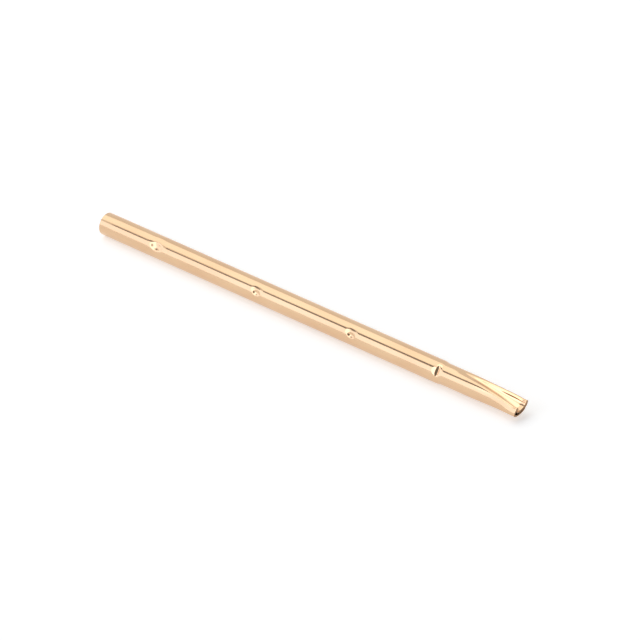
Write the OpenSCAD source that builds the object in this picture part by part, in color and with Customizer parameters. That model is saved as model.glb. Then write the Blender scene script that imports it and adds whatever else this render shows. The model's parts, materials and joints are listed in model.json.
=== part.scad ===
// Slim gold-plated sleeve tool with a pressed scoop end and a spring-loaded push pin.
//
// The tube lies along X. Its open mouth is at X = 0 and its scoop points to +X, with the scoop's
// hollow facing +Z. A small cartridge rides in the bore: a barrel that carries a push pin, a ball,
// a coil spring and a plug. The pin points to -X. All sizes are in millimetres.

/* [Sleeve tube] */
// Outside diameter of the tube
tube_d = 1.67; // [1.4:0.01:2.2]
// Wall thickness of the tube
tube_wall = 0.13; // [0.1:0.01:0.2]
// Length of the whole tube, from the mouth to the end of the scoop
tube_len = 37.3; // [32:0.1:46]
// Chamfer inside the mouth
mouth_chamfer = 0.06; // [0.02:0.01:0.09]

/* [Grip dimples] */
// Distance from the mouth to the first dimple
first_dimple = 5.3; // [3:0.05:7]
// Distance from the mouth to the second dimple
second_dimple = 14.5; // [11:0.1:16]
// Distance from the mouth to the third dimple
third_dimple = 23; // [19:0.1:25]
// Direction of the first dimple, as an angle above the horizontal on the -Y side
first_angle = 33; // [0:1:60]
// Direction of the second dimple
second_angle = 25; // [0:1:60]
// Direction of the third dimple
third_angle = 24; // [0:1:60]
// Radius of the round punch that makes a grip dimple
punch_r = 0.2; // [0.12:0.01:0.26]
// Depth of a grip dimple
dimple_depth = 0.09; // [0.05:0.01:0.12]
// Thickness of the wall left under a punched mark
punched_wall = 0.08; // [0.05:0.005:0.1]

/* [Stop crimp] */
// Direction of the stop crimp, as an angle above the horizontal on the -Y side
crimp_angle = 34; // [0:1:60]
// Radius of the punch that makes the stop crimp
crimp_r = 0.3; // [0.24:0.01:0.36]
// Depth of the stop crimp
crimp_depth = 0.24; // [0.18:0.01:0.28]
// Length of the cone behind the crimp, where the tube narrows
neck_len = 0.25; // [0.1:0.05:0.4]
// Length of the narrowed tube that stays round before the scoop
neck_round = 0.2; // [0.05:0.01:1]

/* [Scoop] */
// Length over which the end is pressed from a round tube into a scoop
scoop_len = 6.0; // [4.6:0.1:6.8]
// Length of the end that has the full scoop section
scoop_flat = 0.35; // [0.2:0.05:1.5]
// How much the radius shrinks behind the stop crimp
neck_step = 0.055; // [0.02:0.005:0.08]
// How much more the radius shrinks towards the end of the scoop
tip_step = 0.08; // [0:0.01:0.12]
// Angle from the middle of the hollow to each lip, at the end of the scoop
lip_angle = 73; // [60:1:80]
// How far the wall turns inside a lip before it sweeps into the hollow
lip_turn = 86; // [80:1:94]
// Angle from the middle to each shoulder, where the pressing begins
shoulder_angle = 25; // [15:1:35]
// Radius of the shoulders where the pressing begins
shoulder_r = 0.6; // [0.4:0.05:0.7]
// Gap left inside the folded wall of a lip
fold_r = 0.012; // [0.008:0.001:0.02]
// How far the bottom leans towards the row of dimples, at the end of the scoop
bottom_lean = 0.2; // [0:0.01:0.3]
// How far below the lips the lean is whole
lean_depth = 0.6; // [0.5:0.05:1]
// How far the bottom is pressed up, at the end of the scoop
bottom_lift = 0.2; // [0:0.01:0.22]
// How far the lips overhang the bottom at the end face
end_slant = 0.15; // [0:0.01:0.3]
// How far the hollow is turned towards the row of dimples
scoop_turn = 5; // [0:1:15]

/* [Cartridge] */
// How deep the pin's point sits inside the mouth
pin_depth = 2.8; // [1:0.1:4]
// Wall thickness of the barrel
barrel_wall = 0.12; // [0.09:0.01:0.14]
// Thickness of the lip that holds the pin in the barrel
lip_len = 0.3; // [0.2:0.05:0.6]
// Length of the plug that closes the barrel
plug_len = 1.2; // [0.8:0.1:2]
// Thickness of the edge that is rolled over the plug
roll_len = 0.2; // [0.1:0.05:0.4]
// Depth of the bead that locks the plug
bead_depth = 0.05; // [0.02:0.01:0.06]

/* [Push pin] */
// How much smaller the stem's radius is than the guide head's
stem_step = 0.2; // [0.12:0.01:0.24]
// How far the pin stands out of the barrel
pin_reach = 6.4; // [5:0.1:7]
// Length of the pin's cone
point_len = 0.9; // [0.4:0.1:1.4]
// Radius of the blunt end of the cone
point_r = 0.1; // [0.05:0.01:0.2]
// Length of the pin's guide head
head_len = 2.2; // [1.5:0.1:3]
// Slant of the face that the ball presses on
bias_angle = 12; // [0:1:20]
// Radial gap between the ball and the barrel
ball_gap = 0.13; // [0.08:0.01:0.14]

/* [Spring] */
// Diameter of the spring wire
wire_d = 0.13; // [0.08:0.01:0.16]
// Turns of the spring, with one and a half closed turns at each end
spring_turns = 22; // [12:1:26]

/* [Clearances] */
// Radial gap between the barrel and the grip dimples
barrel_gap = 0.015; // [0.01:0.005:0.05]
// Gap between the barrel's end and the stop crimp
stop_gap = 0.05; // [0.02:0.01:0.2]
// Radial gap between the moving pin and the barrel
pin_gap = 0.02; // [0.01:0.005:0.04]
// Gap left between pieces that only rest on each other
rest_gap = 0.01; // [0.005:0.005:0.03]

/* [Hidden] */
$fn = 64;

// The tube and its bore
tube_r = tube_d / 2;
bore_r = tube_r - tube_wall;
neck_r = tube_r - neck_step;
tip_r = neck_r - tip_step;
tip_lip_r = tube_wall + fold_r;
tip_lip_z = (tip_r - tip_lip_r) * cos(lip_angle) + tip_lip_r;
scoop_x = tube_len - scoop_len;

// Each dimple's place along the tube and its direction
dimples = [[first_dimple, first_angle], [second_dimple, second_angle], [third_dimple, third_angle]];

// A mark is punched by a ball, and the wall behind it bulges into the bore round the same centre
function punch_centre(r, depth) = tube_r + r - depth;
dimple_rise = max(0, dimple_depth + punched_wall - tube_wall);
crimp_bump = crimp_r + punched_wall;
crimp_reach = sqrt(pow(crimp_bump, 2) - pow(punch_centre(crimp_r, crimp_depth) - bore_r, 2));
neck_x = scoop_x - neck_round - neck_len;
crimp_x = neck_x - crimp_bump;

// The cartridge, whose barrel passes under the grip dimples and rests against the stop crimp
barrel_r = bore_r - dimple_rise - barrel_gap;
barrel_bore = barrel_r - barrel_wall;
barrel_end = crimp_x - crimp_reach - stop_gap;
barrel_x = pin_depth + pin_reach;
plug_x = barrel_end - roll_len - plug_len;
plug_bore_r = barrel_bore / 2;
bead_w = 3 * bead_depth;
bead_x = plug_x + plug_len / 2;

// The pin, its ball and its spring
head_r = barrel_bore - pin_gap;
stem_r = head_r - stem_step;
head_x = barrel_x + lip_len + rest_gap;
head_end = head_x + head_len;
ball_r = barrel_bore - ball_gap;
ball_x = head_end + (ball_r + rest_gap) / cos(bias_angle);
wire_r = wire_d / 2;
spring_r = barrel_bore - pin_gap - wire_r;
spring_x = ball_x + sqrt(pow(ball_r + rest_gap + wire_r, 2) - pow(spring_r, 2)) - wire_r;
spring_end = plug_x - rest_gap;
wire_sides = 6;
wire_steps = 12;
closed_turns = 1.5;
closed_pitch = 1.04 * wire_d;

// The scoop's mesh
ring_n = 48;
station_n = 21;
// The mesh is this much inside the tube's faces, and starts this far inside the round tube's end
mesh_inset = 0.004;
mesh_overlap = 0.05;
// Shares of the scoop's length where the radius starts to shrink, and over which it shrinks
taper_start = 0.25;
taper_share = 0.6;
// Powers that say how early each change happens as the pressing goes on
shoulder_power = 3;
spread_power = 2.4;
turn_power = 1.5;
lean_power = 2;
slant_power = 6;
// How much the wall turns over where the pressing begins, and the least turn that is drawn
first_turn = 4;
least_turn = 0.01;

function smooth(t) = let (c = max(0, min(1, t))) c * c * (3 - 2 * c);
function mix(a, b, w) = a * (1 - w) + b * w;

// How far the pressing has gone at a station: 0 is round, 1 is the full scoop
function pressing(x) = max(0, min(1, (x - scoop_x) / (scoop_len - scoop_flat)));

// The pressed wall's outline at a station is made of tangent arcs. On each side an outer arc runs up
// to the lip's angle, the lip turns the wall over, and the hollow's arc sweeps to the other side.
// way runs from 0 at the bottom to 1 in the middle of the hollow. depth is 0 for the outer
// face of the wall, and the wall's thickness for its inner face.
function outline_point(t, way, depth) =
    let (r = mix(neck_r, tip_r, smooth((t - taper_start) / taper_share)),
         lip_r = mix(tip_lip_r, shoulder_r, pow(1 - t, shoulder_power)),
         lip = mix(shoulder_angle, lip_angle, pow(t, spread_power)),
         any_turn = mix(first_turn - shoulder_angle, lip_turn, 1 - pow(1 - t, turn_power)),
         turn = abs(any_turn) < least_turn ? least_turn : any_turn,
         end = [lip_r * -sin(turn), lip_r * cos(turn)] + (r - lip_r) * [sin(lip), cos(lip)],
         hollow_r = end[0] / sin(turn),
         outer_arc = r * (180 - lip),
         lip_arc = lip_r * (lip + turn),
         hollow_arc = hollow_r * turn,
         s = way * (outer_arc + lip_arc + hollow_arc))
    s <= outer_arc
    ? let (a = 180 - s / r) (r - depth) * [sin(a), cos(a)]
    : s <= outer_arc + lip_arc
    ? let (a = lip - (s - outer_arc) / lip_r)
      (r - lip_r) * [sin(lip), cos(lip)] + (lip_r - depth) * [sin(a), cos(a)]
    : let (a = turn - (s - outer_arc - lip_arc) / hollow_r)
      [0, end[1] + hollow_r * cos(turn)] + (hollow_r + depth) * [sin(a), -cos(a)];

// A closed outline at a station. Its bottom leans to one side and is pressed up, and the end face
// slants. The wall's own middle sets the lean and the lift, so that both faces move together.
function skin_ring(x, depth) =
    [for (i = [0:ring_n - 1])
        let (t = pressing(x),
             side = i <= ring_n / 2 ? -1 : 1,
             way = side < 0 ? 2 * i / ring_n : 2 - 2 * i / ring_n,
             p = outline_point(t, way, depth),
             middle = outline_point(t, way, tube_wall / 2),
             below = tip_lip_z - middle[1],
             lean = bottom_lean * pow(t, lean_power) * smooth(below / lean_depth),
             low = max(0, below) / (tip_lip_z + tip_r),
             lift = bottom_lift * pow(t, lean_power) * pow(low, 2),
             slant = end_slant * pow(t, slant_power) * (tip_lip_z - p[1]) / (tip_lip_z + tip_r))
        [x - slant, side * p[0] - lean, p[1] + lift]];

module scoop_mesh() {
    start = neck_x + neck_len - mesh_overlap;
    xs = [for (i = [0:station_n]) i == 0 ? start : scoop_x + scoop_len * (i - 1) / (station_n - 1)];
    outside = [for (x = xs) each skin_ring(x, mesh_inset)];
    inside = [for (x = xs) each skin_ring(x, tube_wall - mesh_inset)];
    count = (station_n + 1) * ring_n;
    function at(layer, station, i) = layer * count + station * ring_n + (i + ring_n) % ring_n;
    faces = concat(
        [for (s = [0:station_n - 1], i = [0:ring_n - 1])
            each [[at(0, s, i), at(0, s, i + 1), at(0, s + 1, i + 1)],
                  [at(0, s, i), at(0, s + 1, i + 1), at(0, s + 1, i)],
                  [at(1, s, i), at(1, s + 1, i + 1), at(1, s, i + 1)],
                  [at(1, s, i), at(1, s + 1, i), at(1, s + 1, i + 1)]]],
        [for (i = [0:ring_n - 1])
            each [[at(0, 0, i), at(1, 0, i + 1), at(0, 0, i + 1)],
                  [at(0, 0, i), at(1, 0, i), at(1, 0, i + 1)],
                  [at(0, station_n, i), at(0, station_n, i + 1), at(1, station_n, i + 1)],
                  [at(0, station_n, i), at(1, station_n, i + 1), at(1, station_n, i)]]]);
    rotate([scoop_turn, 0, 0]) polyhedron(concat(outside, inside), faces);
}

// A turned shape along X, from a profile of [radius, distance along X]
module turned(profile) {
    rotate([0, 90, 0]) rotate_extrude() polygon(profile);
}

// Moves a ball to a punched mark: x along the tube, its direction, and its distance from the axis
module at_mark(x, angle, distance) {
    rotate([-angle, 0, 0]) translate([x, -distance, 0]) children();
}

module round_tube() {
    neck_bore = neck_r - tube_wall;
    turned([
        [bore_r + mouth_chamfer, 0],
        [tube_r, 0],
        [tube_r, neck_x],
        [neck_r, neck_x + neck_len],
        [neck_bore, neck_x + neck_len],
        [bore_r, neck_x],
        [bore_r, mouth_chamfer],
    ]);
}

// The wall metal that a punch drives into the bore, and the punch's own mark
module bump(x, angle, r, depth) {
    intersection() {
        at_mark(x, angle, punch_centre(r, depth)) sphere(r + punched_wall);
        translate([x - 2 * r, 0, 0]) rotate([0, 90, 0]) cylinder(r = tube_r - tube_wall / 2, h = 4 * r);
    }
}

module mark(x, angle, r, depth) {
    at_mark(x, angle, punch_centre(r, depth)) sphere(r);
}

module sleeve_tube() {
    color("goldenrod") {
        difference() {
            union() {
                round_tube();
                for (d = dimples) bump(d[0], d[1], punch_r, dimple_depth);
                bump(crimp_x, crimp_angle, crimp_r, crimp_depth);
            }
            for (d = dimples) mark(d[0], d[1], punch_r, dimple_depth);
            mark(crimp_x, crimp_angle, crimp_r, crimp_depth);
        }
        scoop_mesh();
    }
}

module pin_barrel() {
    front = barrel_x + lip_len;
    rear = barrel_end - roll_len;
    hole = stem_r + pin_gap;
    color("gold") turned([
        [hole, barrel_x],
        [barrel_r - barrel_wall / 2, barrel_x],
        [barrel_r, barrel_x + barrel_wall / 2],
        [barrel_r, bead_x - bead_w],
        [barrel_r - bead_depth, bead_x - bead_w / 2],
        [barrel_r - bead_depth, bead_x + bead_w / 2],
        [barrel_r, bead_x + bead_w],
        [barrel_r, barrel_end - barrel_wall / 2],
        [barrel_r - barrel_wall / 2, barrel_end],
        [plug_bore_r, barrel_end],
        [plug_bore_r, rear],
        [barrel_bore, rear],
        [barrel_bore, bead_x + bead_w],
        [barrel_bore - bead_depth, bead_x + bead_w / 2],
        [barrel_bore - bead_depth, bead_x - bead_w / 2],
        [barrel_bore, bead_x - bead_w],
        [barrel_bore, front],
        [hole, front],
    ]);
}

module barrel_plug() {
    color("peru") turned([
        [0, plug_x],
        [barrel_bore, plug_x],
        [barrel_bore, bead_x - bead_w],
        [barrel_bore - bead_depth, bead_x - bead_w / 2],
        [barrel_bore - bead_depth, bead_x + bead_w / 2],
        [barrel_bore, bead_x + bead_w],
        [barrel_bore, plug_x + plug_len],
        [0, plug_x + plug_len],
    ]);
}

module push_pin() {
    edge = 2 * pin_gap;
    color("silver") difference() {
        turned([
            [0, pin_depth],
            [point_r, pin_depth],
            [stem_r, pin_depth + point_len],
            [stem_r, head_x],
            [head_r - edge, head_x],
            [head_r, head_x + edge],
            [head_r, head_end + head_r],
            [0, head_end + head_r],
        ]);
        translate([head_end, 0, 0]) rotate([0, bias_angle, 0])
            translate([0, -tube_r, -2 * tube_r]) cube([2 * tube_r, 2 * tube_r, 4 * tube_r]);
    }
}

module thrust_ball() {
    color("lightgray") translate([ball_x, 0, 0]) sphere(ball_r);
}

// Distance along the spring after a number of turns: closed coils at both ends, open ones between
function coil_x(turn) =
    let (open_length = spring_end - spring_x - wire_d - 2 * closed_turns * closed_pitch,
         open_pitch = open_length / (spring_turns - 2 * closed_turns),
         start = spring_x + wire_r)
    turn < closed_turns ? start + turn * closed_pitch
    : turn > spring_turns - closed_turns ? spring_end - wire_r - (spring_turns - turn) * closed_pitch
    : start + closed_turns * closed_pitch + (turn - closed_turns) * open_pitch;

module pin_spring() {
    steps = spring_turns * wire_steps;
    points = [for (s = [0:steps], k = [0:wire_sides - 1])
        let (turn = s / wire_steps,
             around = 360 * k / wire_sides,
             r = spring_r + wire_r * cos(around))
        [coil_x(turn) + wire_r * sin(around), r * cos(360 * turn), r * sin(360 * turn)]];
    function at(s, k) = s * wire_sides + (k + wire_sides) % wire_sides;
    faces = concat(
        [for (s = [0:steps - 1], k = [0:wire_sides - 1])
            each [[at(s, k), at(s + 1, k + 1), at(s, k + 1)], [at(s, k), at(s + 1, k), at(s + 1, k + 1)]]],
        [[for (k = [0:wire_sides - 1]) at(0, k)], [for (k = [wire_sides - 1:-1:0]) at(steps, k)]]);
    color("darkgray") polyhedron(points, faces);
}

sleeve_tube();
pin_barrel();
barrel_plug();
push_pin();
thrust_ball();
pin_spring();
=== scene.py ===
# %% [markdown]
# # A slim gold-plated sleeve tool with a pressed scoop
#
# The tool is one thin drawn tube, plated and polished. It has an open mouth, a row of punched marks
# and an end that is pressed into a scoop. Inside it rides a small cartridge: a barrel with a push
# pin, a ball, a coil spring and a plug. This file builds the looks of each piece around a fixed
# model that already holds the sizes and the joints.

# %% Load the fixed model
import json
import math
from collections import namedtuple

import bmesh
import bpy
from mathutils import Matrix, Vector


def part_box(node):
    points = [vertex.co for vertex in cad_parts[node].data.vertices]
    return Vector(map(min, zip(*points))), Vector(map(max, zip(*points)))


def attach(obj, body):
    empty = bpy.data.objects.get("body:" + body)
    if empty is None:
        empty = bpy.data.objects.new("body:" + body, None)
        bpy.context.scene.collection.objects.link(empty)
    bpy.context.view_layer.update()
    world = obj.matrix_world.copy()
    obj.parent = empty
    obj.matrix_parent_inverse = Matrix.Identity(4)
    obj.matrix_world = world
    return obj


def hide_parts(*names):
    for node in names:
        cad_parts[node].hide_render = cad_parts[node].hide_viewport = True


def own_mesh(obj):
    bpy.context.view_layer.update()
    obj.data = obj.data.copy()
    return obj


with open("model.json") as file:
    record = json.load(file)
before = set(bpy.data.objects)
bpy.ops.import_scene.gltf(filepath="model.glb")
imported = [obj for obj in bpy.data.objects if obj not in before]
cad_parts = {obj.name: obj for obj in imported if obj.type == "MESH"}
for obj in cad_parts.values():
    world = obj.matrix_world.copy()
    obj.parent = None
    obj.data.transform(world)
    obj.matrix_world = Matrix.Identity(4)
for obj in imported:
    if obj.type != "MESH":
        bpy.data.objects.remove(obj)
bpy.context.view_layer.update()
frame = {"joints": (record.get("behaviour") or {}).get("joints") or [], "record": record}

# %% [markdown]
# ## Sizes
#
# Every place comes from the fixed model: a piece's box gives where it starts, where it ends and how
# wide it is. Only the shapes that a box can't tell, such as how a lip curls, are named here.

# %% Places read from the model
MM = 0.001
tube_radius = frame["record"]["mounts"][0]["dims"]["r_mm"] * MM


def span(node):
    """Where a round piece starts and ends along the tube, and its radius."""
    low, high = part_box(node)
    return low.x, high.x, high.z


mouth, tip, _ = span("sleeve_tube")
barrel_start, barrel_end, barrel_radius = span("pin_barrel")
plug_start, plug_end, barrel_bore = span("barrel_plug")
pin_start, pin_end, head_radius = span("push_pin")
ball_start, ball_end, ball_radius = span("thrust_ball")
spring_start, spring_end, _ = span("pin_spring")
stroke = next(j for j in frame["joints"] if j["name"] == "pin_stroke")["range_m"][1]
print(f"tube {1000 * (tip - mouth):.2f} mm long, {2000 * tube_radius:.2f} mm across")

# %% [markdown]
# ## Node expressions
#
# Node trees are easier to read as formulas than as boxes. One class wraps a socket, so that Python's
# own signs add Math nodes. One method makes any other node.


# %% A socket that works in formulas
class Wire:
    """An output socket. Adding, multiplying or comparing it adds a Math node."""

    def __init__(self, board, socket):
        self.board, self.socket = board, socket

    def math(self, operation, *others):
        inputs = dict(enumerate((self, *others)))
        return self.board.node("ShaderNodeMath", {"operation": operation}, inputs)

    def swapped(self, operation, first):
        return self.board.node("ShaderNodeMath", {"operation": operation}, {0: first, 1: self})

    def __add__(self, other):
        return self.math("ADD", other)

    def __sub__(self, other):
        return self.math("SUBTRACT", other)

    def __mul__(self, other):
        return self.math("MULTIPLY", other)

    def __truediv__(self, other):
        return self.math("DIVIDE", other)

    def __pow__(self, other):
        return self.math("POWER", other)

    def __lt__(self, other):
        return self.math("LESS_THAN", other)

    def __neg__(self):
        return self.math("MULTIPLY", -1)

    def __rsub__(self, other):
        return self.swapped("SUBTRACT", other)

    def __rtruediv__(self, other):
        return self.swapped("DIVIDE", other)

    __radd__ = __add__
    __rmul__ = __mul__

    def clamp(self):
        return self.math("MAXIMUM", 0).math("MINIMUM", 1)

    def smooth(self):
        """0 below 0, 1 above 1, and an S between them."""
        t = self.clamp()
        return t * t * (3 - 2 * t)

    def out(self, name):
        """Another output of the same node."""
        return Wire(self.board, self.socket.node.outputs[name])


# %% A board that makes nodes
class Board:
    """A node tree, with one method that makes any node."""

    def __init__(self, tree):
        self.tree = tree

    def node(self, kind, settings=None, sockets=None, output=0):
        made = self.tree.nodes.new(kind)
        for name, value in (settings or {}).items():
            if name == "stops":
                self.fill_ramp(made.color_ramp.elements, value)
            else:
                setattr(made, name, value)
        for name, value in (sockets or {}).items():
            if isinstance(value, Wire):
                self.tree.links.new(value.socket, made.inputs[name])
            else:
                made.inputs[name].default_value = value
        return Wire(self, made.outputs[output]) if len(made.outputs) else made

    @staticmethod
    def fill_ramp(elements, stops):
        while len(elements) < len(stops):
            elements.new(1)
        for element, (place, colour) in zip(elements, stops):
            element.position, element.color = place, (*colour, 1)


# %% Small helpers for blending
def blend(a, b, share):
    """Between a and b, where share is a Wire from 0 to 1."""
    return a + (b - a) * share


def mix_colours(board, share, a, b):
    """A colour between a and b. The Mix node keeps its colour sockets at 6 and 7."""
    settings = {"data_type": "RGBA", "clamp_factor": True}
    return board.node("ShaderNodeMix", settings, {0: share, 6: a, 7: b}, output=2)


# %% [markdown]
# ## The sleeve's shape as a rule
#
# The real sleeve starts as a drawn tube. A press then pushes a round punch into one end: the wall
# sinks in the middle, two lips stand up beside it, and in the end the wall lies double in a scoop.
# Modelling such lips by hand gives lumpy reflections, and this metal shows every lump. So each
# section across the tube follows one rule made of arcs that meet smoothly: an outer arc, a tight arc
# over each lip, and the arc of the hollow. The press wasn't quite true either: the bottom leans to
# one side and is lifted, the end face slants, and the hollow is turned a little. Geometry Nodes are
# the right tool, because the whole piece is that one rule, worked out at every point of a plain grid.

# %% How the tube is pressed
press = {
    "Wall": 0.13 * MM,
    "Neck start": tip - 7.05 * MM,
    "Neck length": 0.5 * MM,
    "Neck step": 0.055 * MM,
    "Scoop start": tip - 6.0 * MM,
    "Scoop length": 5.65 * MM,
    "Tip step": 0.08 * MM,
    "Lip angle": math.radians(73),
    "Lip turn": math.radians(86),
    "Shoulder angle": math.radians(25),
    "Shoulder radius": 0.6 * MM,
    "Fold radius": 0.012 * MM,
    "Bottom lean": 0.2 * MM,
    "Lean depth": 0.6 * MM,
    "Bottom lift": 0.2 * MM,
    "End slant": 0.15 * MM,
    "Scoop turn": math.radians(5),
}
wall = press["Wall"]
print("scoop starts at", round(press["Scoop start"] / MM, 2), "mm")

# %% [markdown]
# ## The punched marks
#
# Three small marks grip the cartridge, and one deep crimp stops it. The punch leaves a sharp pit, and
# the wall round it sinks into a wider, shallow bowl. The first mark is broad and soft, and the last
# is a crease across the tube. Each mark has its own numbers, because a hand press never hits twice
# with the same force.

# %% Where the marks are and how the punch struck
# Lengths are in millimetres: the place along the tube, half the pit's length and width, its depth,
# half the bowl's length and its depth. The angle is in degrees above the horizontal.
Mark = namedtuple("Mark", "place angle pit_length pit_width pit_depth bowl bowl_depth")
marks = [
    Mark(5.3, 33, pit_length=0.60, pit_width=0.36, pit_depth=0.110, bowl=0.85, bowl_depth=0.030),
    Mark(14.5, 25, pit_length=0.36, pit_width=0.24, pit_depth=0.085, bowl=0.62, bowl_depth=0.028),
    Mark(23.0, 24, pit_length=0.36, pit_width=0.24, pit_depth=0.095, bowl=0.62, bowl_depth=0.030),
    Mark(30.47, 34, pit_length=0.14, pit_width=0.44, pit_depth=0.120, bowl=0.45, bowl_depth=0.040),
]
pit_sharpness = 1.5


def pressed_depth(x, angle, radius):
    """How far all the marks push the outer wall in, at a point of the tube."""
    total = 0
    for mark in marks:
        away_x = x - mark.place * MM
        away_round = (angle - math.radians(mark.angle)) * radius
        pit = (away_x / (mark.pit_length * MM)) ** 2 + (away_round / (mark.pit_width * MM)) ** 2
        ring = (away_x / (mark.bowl * MM)) ** 2 + (away_round / (mark.bowl * MM)) ** 2
        total = total + (1 - pit).clamp() ** pit_sharpness * (mark.pit_depth * MM)
        total = total + (1 - ring).smooth() * (mark.bowl_depth * MM)
    return total


# %% [markdown]
# ## A grid for the rule to bend
#
# The grid's rows run round the tube, and its columns run from the mouth along the outside, over the
# end face and back along the bore. Each point carries three numbers: how far along the tube it is,
# how far round, and how deep in the wall. Rows stand close together only where the shape changes.


# %% Rows along the tube
plain_step, scoop_start_step = 1.5 * MM, 0.05 * MM
mark_margin = 0.05  # in millimetres, like a mark's own sizes


def stretch(start, end, step):
    """Even places from start to just before end, in metres."""
    count = max(1, round((end - start) / step))
    return [start + (end - start) * i / count for i in range(count)]


def places_along(edge, near_marks, in_scoop):
    """Places from one edge to the other, close together at the marks and in the scoop."""
    places, at = [], mouth + edge
    for mark in marks:
        before = (mark.place - mark.bowl - mark_margin) * MM
        after = (mark.place + mark.bowl + mark_margin) * MM
        places += stretch(at, before, plain_step) + stretch(before, after, near_marks)
        at = after
    places += stretch(at, press["Scoop start"], scoop_start_step)
    places += stretch(press["Scoop start"], tip - edge, in_scoop)
    return places + [tip - edge]


def rounded_edge(edge, steps, end):
    """Points of (along, depth) over a cut end of the wall, with both its corners rounded."""
    quarter = [math.pi / 2 * i / steps for i in range(1, steps + 1)]
    near = [(edge * (1 - math.sin(a)), edge * (1 - math.cos(a)) / wall) for a in quarter]
    flat = [(0, 0.35), (0, 0.5), (0, 0.65)]
    far = [(a, 1 - d) for a, d in reversed(near[:-1])]
    points = near + flat + far
    return [(end - a, d) if end > mouth else (a, d) for a, d in points]


edge = 0.035 * MM
edge_steps = 4
outside = [(x, 0) for x in places_along(edge, near_marks=0.045 * MM, in_scoop=0.07 * MM)]
inside = [(x, 1) for x in reversed(places_along(edge, near_marks=0.12 * MM, in_scoop=0.1 * MM))]
tip_face = rounded_edge(edge, edge_steps, tip)
mouth_face = list(reversed(rounded_edge(edge, edge_steps, mouth)))
rows = outside + tip_face + inside + mouth_face
print(len(rows), "rows")


# %% The flat grid with its three numbers
def sleeve_grid(points_round):
    """A closed grid of rows and columns. Its points wait at the origin for the rule."""
    mesh = bpy.data.meshes.new("sleeve_grid")
    total = len(rows) * points_round
    faces = []
    for row in range(len(rows)):
        here, there = row * points_round, (row + 1) % len(rows) * points_round
        for i in range(points_round):
            j = (i + 1) % points_round
            faces.append((here + i, here + j, there + j, there + i))
    mesh.from_pydata([(0, 0, 0)] * total, [], faces)
    turns = [2 * i / points_round for i in range(points_round)]
    numbers = {
        "along": [x for x, _ in rows for _ in turns],
        "deep": [d for _, d in rows for _ in turns],
        "round": [t if t <= 1 else t - 2 for _ in rows for t in turns],
    }
    for name, values in numbers.items():
        mesh.attributes.new(name, "FLOAT", "POINT").data.foreach_set("value", values)
    return mesh


# %% Geometry Nodes that press the grid into the sleeve
def geometry_tree(name, sizes):
    """A Geometry Nodes tree, its board, its geometry input and a Wire for each named size."""
    tree = bpy.data.node_groups.new(name, "GeometryNodeTree")
    tree.interface.new_socket("Geometry", in_out="INPUT", socket_type="NodeSocketGeometry")
    tree.interface.new_socket("Geometry", in_out="OUTPUT", socket_type="NodeSocketGeometry")
    for size in sizes:
        tree.interface.new_socket(size, in_out="INPUT", socket_type="NodeSocketFloat")
    tree.interface.new_socket("Finish", in_out="INPUT", socket_type="NodeSocketMaterial")
    board = Board(tree)
    start = board.node("NodeGroupInput")
    return board, start, {size: start.out(size) for size in sizes}


def finish_tree(board, start, geometry):
    """Ends a tree: instances become real, the surface is smooth and the material is set."""
    real = board.node("GeometryNodeRealizeInstances", {}, {0: geometry})
    smooth = board.node("GeometryNodeSetShadeSmooth", {}, {0: real})
    sockets = {"Geometry": smooth, "Material": start.out("Finish")}
    done = board.node("GeometryNodeSetMaterial", {}, sockets)
    board.node("NodeGroupOutput", {}, {0: done})


def run_tree(name, mesh, tree, sizes, finish):
    """Runs a tree on a mesh and returns the result as a plain object."""
    source = bpy.data.objects.new(name + "_source", mesh)
    bpy.context.scene.collection.objects.link(source)
    modifier = source.modifiers.new("rule", "NODES")
    modifier.node_group = tree
    for item in tree.interface.items_tree:
        if item.name in sizes:
            modifier[item.identifier] = sizes[item.name]
        elif item.name == "Finish":
            modifier[item.identifier] = finish
    evaluated = source.evaluated_get(bpy.context.evaluated_depsgraph_get())
    result = bpy.data.meshes.new_from_object(evaluated)
    bpy.data.objects.remove(source)
    made = bpy.data.objects.new(name, result)
    bpy.context.scene.collection.objects.link(made)
    print(name, "has", len(result.polygons), "faces")
    return made


# %% The three-arc rule
# Shares of the pressed length where the radius shrinks, and powers that say how late each change
# comes: a high power leaves most of it to the end.
taper_start, taper_share = 0.25, 0.6
shoulder_power, spread_power, turn_power = 3, 2.4, 1.5


def read(board, name):
    return board.node("GeometryNodeInputNamedAttribute", {"data_type": "FLOAT"}, {"Name": name})


def sine(angle):
    return angle.math("SINE")


def cosine(angle):
    return angle.math("COSINE")


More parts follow.
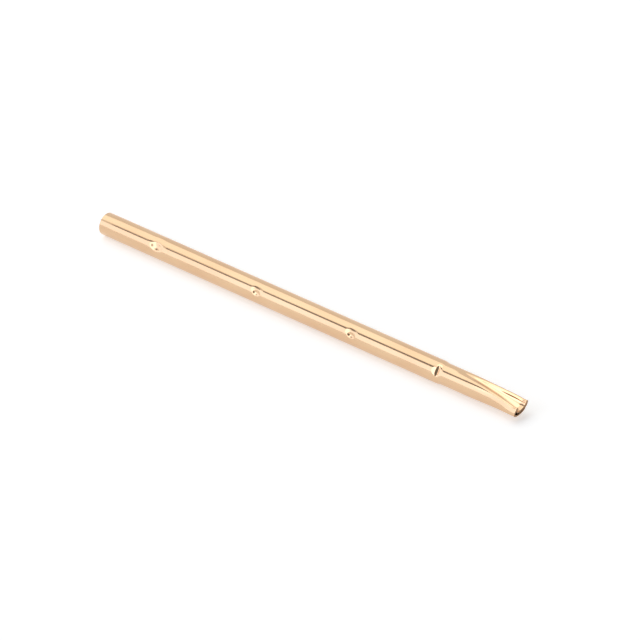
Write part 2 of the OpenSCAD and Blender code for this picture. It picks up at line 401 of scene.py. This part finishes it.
def pressed_section(size, x, way, deep):
    """The point of a section at x: how far to the side it is and how high, and the pressing there."""
    pressing = ((x - size["Scoop start"]) / size["Scoop length"]).clamp()
    radius = size["Tube radius"] - size["Neck step"] * (
        (x - size["Neck start"]) / size["Neck length"]
    ).smooth()
    radius = radius - size["Tip step"] * ((pressing - taper_start) / taper_share).smooth()
    rest = 1 - pressing
    full_lip = size["Wall"] + size["Fold radius"]
    lip_radius = blend(full_lip, size["Shoulder radius"], rest**shoulder_power)
    lip = blend(size["Shoulder angle"], size["Lip angle"], pressing**spread_power)
    turn = blend(-size["Shoulder angle"], size["Lip turn"], 1 - rest**turn_power)

    lip_side = (radius - lip_radius) * sine(lip)
    lip_height = (radius - lip_radius) * cosine(lip)
    hollow_radius = (lip_side - lip_radius * sine(turn)) / sine(turn)
    hollow_height = lip_height + (lip_radius + hollow_radius) * cosine(turn)

    outer_arc = radius * (math.pi - lip)
    lip_arc = lip_radius * (lip + turn)
    travelled = way * (outer_arc + lip_arc + hollow_radius * turn)
    on_outer = travelled < outer_arc
    on_hollow = 1 - (travelled < outer_arc + lip_arc)
    on_lip = 1 - on_outer - on_hollow

    a = math.pi - travelled / radius
    b = lip - (travelled - outer_arc) / lip_radius
    c = turn - (travelled - outer_arc - lip_arc) / hollow_radius
    side = on_outer * (radius - deep) * sine(a)
    side = side + on_lip * (lip_side + (lip_radius - deep) * sine(b))
    side = side + on_hollow * (hollow_radius + deep) * sine(c)
    height = on_outer * (radius - deep) * cosine(a)
    height = height + on_lip * (lip_height + (lip_radius - deep) * cosine(b))
    height = height + on_hollow * (hollow_height - (hollow_radius + deep) * cosine(c))
    return side, height, pressing, radius


# %% The sleeve's whole tree
# How late the end slants and the bottom leans, how much of a mark is lost before it reaches the bore,
# and how sharply bare metal starts at a cut end
slant_power, lean_power = 6, 2
mark_loss, bare_contrast = 0.55, 4


def sleeve_tree():
    board, start, size = geometry_tree("press a tube", ["Tube radius", *press])
    x, turns, depth = read(board, "along"), read(board, "round"), read(board, "deep")
    deep = depth * size["Wall"]
    side, height, pressing, radius = pressed_section(size, x, turns.math("ABSOLUTE"), deep)
    middle = pressed_section(size, x, turns.math("ABSOLUTE"), size["Wall"] / 2)

    lip_radius = size["Wall"] + size["Fold radius"]
    tip_radius = size["Tube radius"] - size["Neck step"] - size["Tip step"]
    top = (tip_radius - lip_radius) * cosine(size["Lip angle"]) + lip_radius
    slant = size["End slant"] * pressing**slant_power * (top - height) / (top + tip_radius)
    below = top - middle[1]
    lift = size["Bottom lift"] * (below.math("MAXIMUM", 0) / (top + tip_radius)) ** 2
    lean = size["Bottom lean"] * (below / size["Lean depth"]).smooth()
    side = side * turns.math("SIGN") - lean * pressing**lean_power
    height = height + lift * pressing**lean_power

    swing = size["Scoop turn"]
    y = side * cosine(swing) - height * sine(swing)
    z = side * sine(swing) + height * cosine(swing)
    angle = z.math("ARCTAN2", -y)
    inner_share = 1 - mark_loss * depth
    push = 1 - pressed_depth(x, angle, radius) * inner_share / radius

    sockets = {"X": x - slant, "Y": y * push, "Z": z * push}
    place = board.node("ShaderNodeCombineXYZ", {}, sockets)
    sockets = {"Geometry": start, "Position": place}
    moved = board.node("GeometryNodeSetPosition", {}, sockets)
    bare = 1 - (depth * 2 - 1).math("ABSOLUTE")
    sockets = {"Geometry": moved, "Name": "bare_metal", "Value": (bare * bare_contrast).clamp()}
    stored = board.node("GeometryNodeStoreNamedAttribute", {"data_type": "FLOAT"}, sockets)
    finish_tree(board, start, stored)
    return board.tree


# %% [markdown]
# ## Metal finishes
#
# All the pieces are bare or plated metal, so their colour is almost only what they reflect. What
# tells them apart is small: drawing lines that run along a tube, rings that a lathe leaves, and
# bare bronze where a plated tube was cut. Each finish is a Principled shader whose roughness and
# bump come from noise that is stretched along the way the metal was worked.


# %% Build a metal finish
def new_material(name):
    material = bpy.data.materials.new(name)
    material.use_nodes = True
    material.node_tree.nodes.clear()
    return material, Board(material.node_tree)


def stretched_noise(board, scale, detail=4.0, low=0.35, high=0.65):
    """Noise on the object's own coordinates, with its own scale along each axis, as 0 to 1."""
    place = board.node("ShaderNodeTexCoord", {}, {}, output="Object")
    sized = board.node("ShaderNodeMapping", {}, {"Vector": place, "Scale": scale})
    noise = board.node("ShaderNodeTexNoise", {}, {"Vector": sized, "Scale": 1.0, "Detail": detail})
    return ((noise - low) / (high - low)).clamp()


def finish_metal(board, colour, roughness, bump_height=None, bump_size=0.0):
    """A Principled metal and its output."""
    sockets = {"Base Color": colour, "Metallic": 1.0, "Roughness": roughness}
    if bump_height is not None:
        bump = {"Height": bump_height, "Strength": 1.0, "Distance": bump_size}
        sockets["Normal"] = board.node("ShaderNodeBump", {}, bump)
    shader = board.node("ShaderNodeBsdfPrincipled", {}, sockets)
    board.node("ShaderNodeOutputMaterial", {}, {"Surface": shader})


# %% Gold plate on the sleeve
def gold_plate():
    """Champagne gold, with faint drawing lines, and brown bare metal where the tube was cut."""
    material, board = new_material("champagne gold plate")
    lines = stretched_noise(board, (120, 9000, 9000))
    cloud = stretched_noise(board, (300, 900, 900), detail=2.0)
    grain = stretched_noise(board, (14000,) * 3)
    cut = board.node("ShaderNodeAttribute", {"attribute_name": "bare_metal"}, {}, output="Fac")
    plate = mix_colours(board, cloud, (0.76, 0.53, 0.33, 1), (0.73, 0.49, 0.30, 1))
    bronze = mix_colours(board, grain, (0.30, 0.16, 0.08, 1), (0.50, 0.31, 0.17, 1))
    colour = mix_colours(board, cut, plate, bronze)
    roughness = 0.10 + lines * 0.03 + cloud * 0.015 + cut * 0.25
    finish_metal(board, colour, roughness, lines + cut * grain, 0.0006 * MM)
    return material


# %% Finishes of the pieces inside
def drawn_metal(name, light, dark, scale, rough, rougher, bump_size):
    """A metal with one colour that drifts between light and dark along the worked direction."""
    material, board = new_material(name)
    lines = stretched_noise(board, scale)
    cloud = stretched_noise(board, (700, 700, 700), detail=2.0)
    colour = mix_colours(board, cloud * 0.6 + lines * 0.4, (*light, 1), (*dark, 1))
    finish_metal(board, colour, rough + lines * (rougher - rough), lines, bump_size)
    return material


along_tube, round_tube = (150, 8000, 8000), (12000, 300, 300)
barrel_gold = drawn_metal(
    "barrel gold plate", (0.78, 0.57, 0.32), (0.68, 0.47, 0.24), along_tube, 0.10, 0.18, 0.0010 * MM
)
turned_brass = drawn_metal(
    "turned brass", (0.66, 0.49, 0.24), (0.52, 0.37, 0.17), round_tube, 0.16, 0.30, 0.0016 * MM
)
bright_pin = drawn_metal(
    "bright pin plate", (0.80, 0.78, 0.73), (0.68, 0.66, 0.62), round_tube, 0.08, 0.16, 0.0010 * MM
)
ball_steel = drawn_metal(
    "polished ball steel", (0.72, 0.72, 0.73), (0.62, 0.62, 0.64), (4000,) * 3, 0.04, 0.08, 0.0002 * MM
)
wire_steel = drawn_metal(
    "spring wire steel", (0.50, 0.49, 0.47), (0.38, 0.37, 0.36), (6000,) * 3, 0.22, 0.38, 0.0012 * MM
)
print("finishes made:", len(bpy.data.materials))

# %% [markdown]
# ## Pressing the sleeve
#
# The tree is run once on the grid, and its result is kept as a plain mesh. The fixed model's own
# sleeve is hidden, because its facets would break the long reflections.

# %% Make the sleeve
sizes = {"Tube radius": tube_radius, **press}
points_round = 176
sleeve = run_tree("sleeve", sleeve_grid(points_round), sleeve_tree(), sizes, gold_plate())
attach(sleeve, "sleeve")
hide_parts("sleeve_tube")

# %% [markdown]
# ## The pieces of the cartridge
#
# The barrel, the plug, the pin and the ball are all turned parts, so each is one profile swept round
# the tube's line. A real lathe never leaves a perfectly sharp corner, and on metal this small the
# corners are most of what one sees. So every corner of a profile is rounded before it is turned.


# %% Turn a rounded profile
on_axis = 1e-9
longest_cut = 0.45


def rounded_profile(corners, radius, steps=4):
    """The closed profile of (x, r) corners, with each corner off the axis cut back and curved."""
    points = []
    for i, corner in enumerate(corners):
        here = Vector(corner)
        if here.y < on_axis:
            points.append(here)
            continue
        before, after = Vector(corners[i - 1]) - here, Vector(corners[(i + 1) % len(corners)]) - here
        cut = min(radius, before.length * longest_cut, after.length * longest_cut)
        start, end = here + before.normalized() * cut, here + after.normalized() * cut
        for k in range(steps + 1):
            t = k / steps
            points.append(start * (1 - t) ** 2 + here * 2 * t * (1 - t) + end * t**2)
    return points


def turned_piece(name, points, finish, around=96, move=None):
    """A closed solid of revolution about the X axis, from a closed profile of (x, r) points."""
    builder = bmesh.new()
    rings = []
    for x, r in points:
        turns = [2 * math.pi * i / around for i in range(around)] if r > on_axis else [0]
        ring = [builder.verts.new((x, r * math.cos(a), r * math.sin(a))) for a in turns]
        rings.append(ring)
    for ring, following in zip(rings, rings[1:] + rings[:1]):
        for i in range(around):
            j = (i + 1) % around
            corners = [ring[i % len(ring)], ring[j % len(ring)]]
            corners += [following[j % len(following)], following[i % len(following)]]
            corners = list(dict.fromkeys(corners))
            if len(corners) > 2:
                builder.faces.new(corners)
    for vertex in builder.verts:
        if move:
            vertex.co = move(vertex.co)
    bmesh.ops.recalc_face_normals(builder, faces=builder.faces)
    mesh = bpy.data.meshes.new(name)
    builder.to_mesh(mesh)
    builder.free()
    mesh.shade_smooth()
    mesh.materials.append(finish)
    made = bpy.data.objects.new(name, mesh)
    bpy.context.scene.collection.objects.link(made)
    print(name, "has", len(mesh.polygons), "faces")
    return made


# %% [markdown]
# ## The barrel
#
# The barrel is a drawn cup with a hole for the pin. Near its back a bead is rolled inwards to lock
# the plug, and the back edge is rolled over. The bead is drawn as one smooth wave.

# %% Make the barrel
bead_place, bead_half, bead_depth = (plug_start + plug_end) / 2, 0.15 * MM, 0.05 * MM
lip_length, roll_length = 0.3 * MM, 0.2 * MM
front_chamfer, back_chamfer = 0.05 * MM, 0.06 * MM
head_step, hole_gap = 0.2 * MM, 0.02 * MM
stem_radius = head_radius - head_step
pin_hole = stem_radius + hole_gap


def bead_wave(radius, forwards=True, steps=12):
    """Points along a wall at this radius, where the rolled bead dips in and comes back."""
    points = []
    for i in range(steps + 1):
        t = i / steps * 2 - 1
        dip = bead_depth * (0.5 + 0.5 * math.cos(math.pi * t))
        points.append((bead_place + bead_half * t, radius - dip))
    return points if forwards else points[::-1]


barrel_corners = [
    (barrel_start, pin_hole),
    (barrel_start, barrel_radius - front_chamfer),
    (barrel_start + front_chamfer, barrel_radius),
    *bead_wave(barrel_radius),
    (barrel_end - back_chamfer, barrel_radius),
    (barrel_end, barrel_radius - back_chamfer),
    (barrel_end, barrel_bore / 2),
    (barrel_end - roll_length, barrel_bore / 2),
    (barrel_end - roll_length, barrel_bore),
    *bead_wave(barrel_bore, forwards=False),
    (barrel_start + lip_length, barrel_bore),
    (barrel_start + lip_length, pin_hole),
]
barrel = turned_piece("barrel", rounded_profile(barrel_corners, 0.03 * MM), barrel_gold)
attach(barrel, "cartridge")
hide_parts("pin_barrel")

# %% [markdown]
# ## The plug
#
# The plug is a short turned slug. The bead bites into it, and the spring pushes against its face. A
# drilled centre mark is left from the lathe.

# %% Make the plug
centre_mark = 0.07 * MM
plug_corners = [
    (plug_start + centre_mark, 0),
    (plug_start, centre_mark),
    (plug_start, barrel_bore),
    *bead_wave(barrel_bore),
    (plug_end, barrel_bore),
    (plug_end, centre_mark),
    (plug_end - centre_mark, 0),
]
plug = turned_piece("plug", rounded_profile(plug_corners, 0.02 * MM), turned_brass)
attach(plug, "cartridge")
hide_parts("barrel_plug")

# %% [markdown]
# ## The push pin
#
# The pin is turned from rod: a blunt cone, a long stem and a guide head. The head's back face is cut
# at a slant, so that the ball pushes the pin to one side and it always touches the barrel. Two
# shallow oil rings run round the head.

# %% Make the push pin
point_length, point_radius, bias = 0.9 * MM, 0.1 * MM, math.radians(12)
head_gap, lean_length = 0.01 * MM, 0.3 * MM
head_front = barrel_start + lip_length + head_gap
head_back = pin_end - head_radius * math.tan(bias)
ring_half, ring_depth = 0.07 * MM, 0.018 * MM
pin_corners = [
    (pin_start, 0),
    (pin_start, point_radius),
    (pin_start + point_length, stem_radius),
    (head_front, stem_radius),
    (head_front, head_radius),
]
for share in (0.4, 0.6):
    ring_place = head_front + (head_back - head_front) * share
    for step, depth in ((-1, 0), (-0.4, 1), (0.4, 1), (1, 0)):
        pin_corners.append((ring_place + ring_half * step, head_radius - ring_depth * depth))
pin_corners += [(head_back, head_radius), (head_back, 0)]


def slant_back_face(point):
    """Leans the head's back face, and fades the lean out towards the rings."""
    share = min(1, max(0, (point.x - (head_back - lean_length)) / lean_length))
    return Vector((point.x + point.z * math.tan(bias) * share, point.y, point.z))


pin_points = rounded_profile(pin_corners, 0.035 * MM)
push_pin = turned_piece("push_pin_piece", pin_points, bright_pin, move=slant_back_face)
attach(push_pin, "pin")
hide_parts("push_pin")

# %% [markdown]
# ## The ball
#
# A tiny hardened ball sits between the slanted head and the spring. Lapping between plates leaves it
# round, with a faint flat at each pole.

# %% Make the ball
ball_place, pole, ball_steps = (ball_start + ball_end) / 2, 0.05 * MM, 40
lean = math.asin(pole / ball_radius)
arc = [lean + (math.pi - 2 * lean) * i / ball_steps for i in range(ball_steps + 1)]
ball_points = [(ball_place - ball_radius * math.cos(a), ball_radius * math.sin(a)) for a in arc]
ball_points = [(ball_points[0][0], 0), *ball_points, (ball_points[-1][0], 0)]
ball = turned_piece("ball", ball_points, ball_steel)
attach(ball, "pin")
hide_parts("thrust_ball")

# %% [markdown]
# ## The spring
#
# The spring is one wire wound at an even pitch, with closed coils at both ends. That is a path that
# repeats, so Geometry Nodes wind it: a line of points becomes a helix, and a round profile follows
# it. The share of its length that it keeps at the pin's full stroke is printed.


# %% Wind the spring
def spring_tree(turns, steps):
    names = ["Start", "Coil radius", "Wire radius", "Closed pitch", "Open pitch", "Closed turns"]
    board, start, size = geometry_tree("wind a spring", names)
    line = board.node("GeometryNodeMeshLine", {}, {"Count": turns * steps + 1})
    turn = board.node("GeometryNodeInputIndex") / steps
    closed = size["Closed turns"]
    open_turns = (turn - closed).math("MAXIMUM", 0).math("MINIMUM", turns - 2 * closed)
    x = size["Start"] + open_turns * size["Open pitch"] + (turn - open_turns) * size["Closed pitch"]
    angle = turn * (2 * math.pi)
    y, z = cosine(angle) * size["Coil radius"], sine(angle) * size["Coil radius"]
    place = board.node("ShaderNodeCombineXYZ", {}, {"X": x, "Y": y, "Z": z})
    wound = board.node("GeometryNodeSetPosition", {}, {"Geometry": line, "Position": place})
    path = board.node("GeometryNodeMeshToCurve", {}, {0: wound})
    ring = {"Resolution": 16, "Radius": size["Wire radius"]}
    profile = board.node("GeometryNodeCurvePrimitiveCircle", {}, ring)
    sockets = {"Curve": path, "Profile Curve": profile, "Fill Caps": True}
    finish_tree(board, start, board.node("GeometryNodeCurveToMesh", {}, sockets))
    return board.tree


turns, steps_a_turn, wire_radius, closed_turns = 22, 72, 0.065 * MM, 1.5
closed_pitch = 2.08 * wire_radius
coil_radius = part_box("pin_spring")[1].y - wire_radius
coiled = spring_end - spring_start - 2 * wire_radius - 2 * closed_turns * closed_pitch
winding = {
    "Start": spring_start + wire_radius,
    "Coil radius": coil_radius,
    "Wire radius": wire_radius * 0.99,
    "Closed pitch": closed_pitch,
    "Open pitch": coiled / (turns - 2 * closed_turns),
    "Closed turns": closed_turns,
}
empty_mesh = bpy.data.meshes.new("nothing")
spring = run_tree("spring", empty_mesh, spring_tree(turns, steps_a_turn), winding, wire_steel)
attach(spring, "cartridge")
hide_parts("pin_spring")
spring_length = spring_end - spring_start
kept = (spring_length - stroke) / spring_length
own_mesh(spring)
print("the spring keeps", round(kept, 3), "of its length at full stroke")

# %% [markdown]
# ## The stage
#
# A small polished tube shows its whole surroundings as stripes. The stage is a faintly glowing pale
# table, a bright panel overhead, a brighter one in front, and a narrow grey flag between the two
# panels. That flag is what draws the thin dark line along the tube. A third, short panel adds light
# to the part of the other two that is nearest to the tool, because the scoop's hollow mirrors it.


# %% Floor
def plain_finish(name, light, dark, roughness, glow=0.0):
    """A matt finish that drifts softly between two colours, and can glow a little."""
    material, board = new_material(name)
    spot = stretched_noise(board, (40, 40, 40), detail=2.0)
    colour = mix_colours(board, spot, (*light, 1), (*dark, 1))
    sockets = {"Base Color": colour, "Roughness": roughness}
    sockets |= {"Emission Color": (1.0, 1.0, 1.0, 1), "Emission Strength": glow}
    shader = board.node("ShaderNodeBsdfPrincipled", {}, sockets)
    board.node("ShaderNodeOutputMaterial", {}, {"Surface": shader})
    return material


def flat_sheet(name, outline, material):
    """A flat sheet at the origin, facing up, with this outline of (x, y) corners."""
    mesh = bpy.data.meshes.new(name)
    mesh.from_pydata([(x, y, 0) for x, y in outline], [], [range(len(outline))])
    mesh.materials.append(material)
    sheet = bpy.data.objects.new(name, mesh)
    bpy.context.scene.collection.objects.link(sheet)
    return sheet


paper = plain_finish("light table", (0.80,) * 3, (0.79,) * 3, 0.9, glow=0.42)
floor = flat_sheet("floor", [(-3, -3), (3, -3), (3, 3), (-3, 3)], paper)
floor.location.z = -tube_radius

# %% [markdown]
# The room is light on the mouth's side and dims towards the other side. The walls of a dent that
# face the dim side turn brown, and this is what makes a punched mark read as a dent.

# %% World light
world = bpy.data.worlds.new("studio")
bpy.context.scene.world = world
world.use_nodes = True
world.node_tree.nodes.clear()
sky = Board(world.node_tree)
towards = sky.node("ShaderNodeTexCoord", {}, {}, output="Generated")
sideways = sky.node("ShaderNodeSeparateXYZ", {}, {"Vector": towards}, output="X")
bright_side, dim_side = 0.92, 0.22
fade_start, fade_length = -0.2, 0.35
room_light = blend(bright_side, dim_side, ((sideways - fade_start) / fade_length).smooth())
sockets = {"Color": (1.0, 0.99, 0.98, 1), "Strength": room_light}
background = sky.node("ShaderNodeBackground", {}, sockets)
sky.node("ShaderNodeOutputWorld", {}, {"Surface": background})

# %% Panels of light and the flag between them
middle = Vector(((mouth + tip) / 2, 0, 0))


def facing_tube(made, angle, distance, along):
    """Puts a panel at an angle from straight up towards the front, so that it faces the tube."""
    away = Vector((0, -math.sin(angle), math.cos(angle)))
    turn = away.to_track_quat("Z", "Y").to_matrix().to_4x4()
    made.matrix_world = Matrix.Translation(middle + away * distance + Vector((along, 0, 0))) @ turn
    made.visible_camera = False


def panel_light(name, start, end, brightness, colour, distance=0.7, along=-0.95, length=1.8):
    """A soft panel between two angles in degrees. Its brightness adds to the room's light."""
    half = math.radians(end - start) / 2
    width = 2 * distance * math.tan(half)
    light = bpy.data.lights.new(name, "AREA")
    light.shape, light.size, light.size_y = "RECTANGLE", length, width
    light.color = colour
    light.energy = brightness * math.pi * width * length
    lamp = bpy.data.objects.new(name, light)
    bpy.context.scene.collection.objects.link(lamp)
    facing_tube(lamp, math.radians(start) + half, distance, along)


panel_light("overhead panel", -29, 26, 0.56, (0.95, 1.0, 1.0))
panel_light("front panel", 44, 87, 0.84, (0.72, 0.78, 1.0))
panel_light("near panel", -10, 87, 0.7, (1.0, 1.0, 1.0), along=-0.2, length=0.3)
grey_cloth = plain_finish("grey cloth", (0.22,) * 3, (0.20,) * 3, 0.9)
far_half = [(-0.12, -0.115), (0.05, -0.065), (0.2, -0.065)]
near_half = [(0.2, 0.085), (0.05, 0.085), (-0.12, -0.03)]
flag = flat_sheet("flag", far_half + near_half, grey_cloth)
facing_tube(flag, math.radians(35), distance=0.66, along=-0.42)

# %% [markdown]
# ## The camera
#
# The camera looks down past the scoop's end of the tool with a long lens, so that the tube crosses
# the view from the upper left to the lower right and hardly narrows.

# %% Camera
camera_data = bpy.data.cameras.new("camera")
camera = bpy.data.objects.new("camera", camera_data)
bpy.context.scene.collection.objects.link(camera)
bpy.context.scene.camera = camera
towards_camera = Vector((0.545, -0.650, 0.530)).normalized()
aim = Vector((19.63, 0, -0.148)) * MM
camera_distance = 0.37
camera.location = aim + towards_camera * camera_distance
camera.rotation_euler = towards_camera.to_track_quat("Z", "Y").to_euler()
camera_data.sensor_width, camera_data.lens = 36, 303.5
camera_data.clip_start, camera_data.clip_end = 0.01, 20
view = bpy.context.scene.view_settings
view.view_transform, view.look = "Standard", "None"
